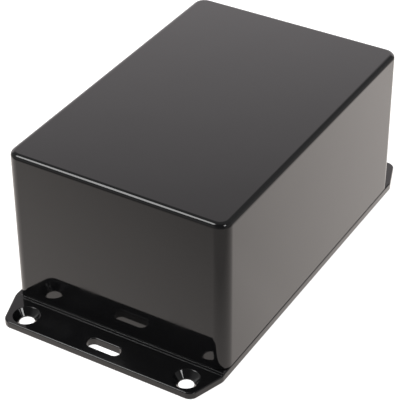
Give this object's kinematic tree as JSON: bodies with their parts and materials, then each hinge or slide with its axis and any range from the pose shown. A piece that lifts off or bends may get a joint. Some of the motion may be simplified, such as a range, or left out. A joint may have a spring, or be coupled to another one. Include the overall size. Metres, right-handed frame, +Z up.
{
  "type": "plastic project box with flanged lid",
  "caption": "Deep rectangular plastic project box, open side down on a screwed lid whose end flanges have countersunk mounting holes and a slot each.",
  "frame": {"origin": "centre of the lid's flat underside, which is the face that the box stands or is mounted on", "axes": "+X along the box, out through a mounting flange; +Y across it; +Z up, out through the closed face"},
  "size_m": [0.147, 0.08, 0.059],
  "materials": {
    "housing_black": "black ABS, moulded in a polished mould",
    "lid_black": "black ABS, moulded in a polished mould",
    "screw_steel": "zinc-plated steel"
  },
  "bodies": {
    "root": {"housing": "housing_black", "flanged_lid": "lid_black", "lid_screws": "screw_steel"}
  },
  "joints": []
}
